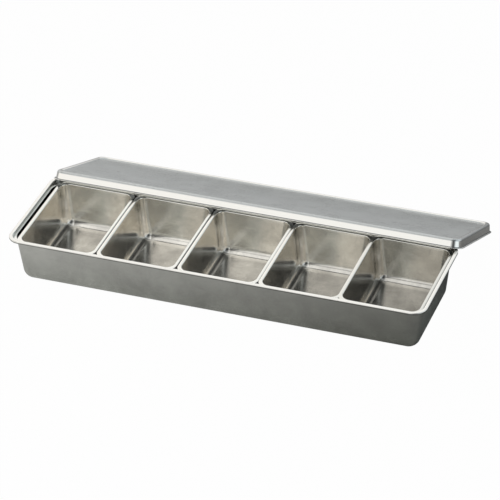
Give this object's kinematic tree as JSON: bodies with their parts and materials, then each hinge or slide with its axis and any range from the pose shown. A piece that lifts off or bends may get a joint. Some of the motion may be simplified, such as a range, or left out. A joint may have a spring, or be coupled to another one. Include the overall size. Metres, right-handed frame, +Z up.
{
  "type": "condiment dish",
  "caption": "Long covered condiment tray: lift-out deep pans hang in a row on the ledge of a steel tray, with a loose shallow lid.",
  "frame": {"origin": "centre of the tray's flat base, on the surface it stands on", "axes": "+X along the tray's length, from the first pan to the last, +Y towards the back, where the lid leans, +Z up"},
  "size_m": [0.409, 0.2204, 0.0555],
  "materials": {
    "tray_steel": "satin stainless steel, fine grain along the length",
    "pan_steel": "satin stainless steel, softly polished inside",
    "lid_steel": "satin stainless steel, fine grain along the length"
  },
  "bodies": {
    "root": {"outer_tray": "tray_steel", "inner_pan_1": "pan_steel", "inner_pan_2": "pan_steel", "inner_pan_3": "pan_steel", "inner_pan_4": "pan_steel", "inner_pan_5": "pan_steel", "lid": "lid_steel"}
  },
  "joints": []
}
